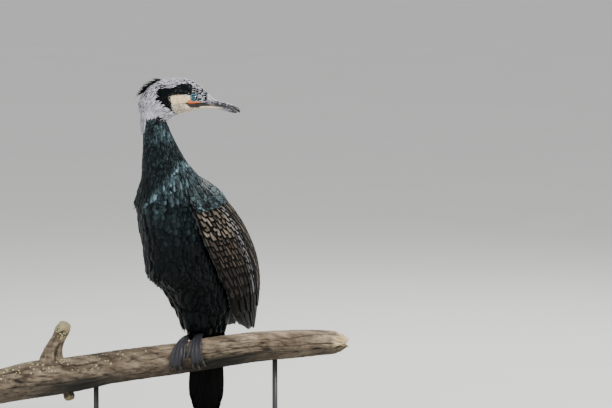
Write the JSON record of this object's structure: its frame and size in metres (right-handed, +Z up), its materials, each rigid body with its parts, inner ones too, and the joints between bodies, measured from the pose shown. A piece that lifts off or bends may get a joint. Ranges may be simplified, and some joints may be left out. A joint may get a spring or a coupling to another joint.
{
  "type": "great cormorant, still life-size model on a perch and display stand",
  "caption": "Life-size still model of a great cormorant in breeding plumage, upright on a cut length of branch, head turned to its left, on a flat stand.",
  "frame": {"origin": "on the underside of the stand's base, below the bird's feet", "axes": "+Z up; the bird faces -Y and its left side is +X"},
  "size_m": [0.6697, 0.3392, 0.7027],
  "materials": {
    "plumage": "satin",
    "head_plumes": "matte",
    "wing_plumage": "satin",
    "flight_feathers": "satin",
    "bill_horn": "satin",
    "throat_skin": "satin",
    "eye": "gloss",
    "leg_skin": "satin",
    "branch_wood": "matte",
    "stand_metal": "satin"
  },
  "bodies": {
    "root": {"bill_lower": "bill_horn", "bill_upper": "bill_horn", "crest": "plumage", "eye_left": "eye", "eye_right": "eye", "foot_left": "leg_skin", "foot_right": "leg_skin", "gular_pouch": "throat_skin", "head": "head_plumes", "neck_lower": "plumage", "neck_upper": "plumage", "perch_branch": "branch_wood", "scapulars_left": "wing_plumage", "scapulars_right": "wing_plumage", "stand_base": "stand_metal", "stand_rod_1": "stand_metal", "stand_rod_2": "stand_metal", "tail": "flight_feathers", "tarsus_left": "leg_skin", "tarsus_right": "leg_skin", "thigh_left": "plumage", "thigh_right": "plumage", "torso": "plumage", "wing_coverts_left": "wing_plumage", "wing_coverts_right": "wing_plumage", "wing_flight_left": "flight_feathers", "wing_flight_right": "flight_feathers"}
  },
  "joints": []
}
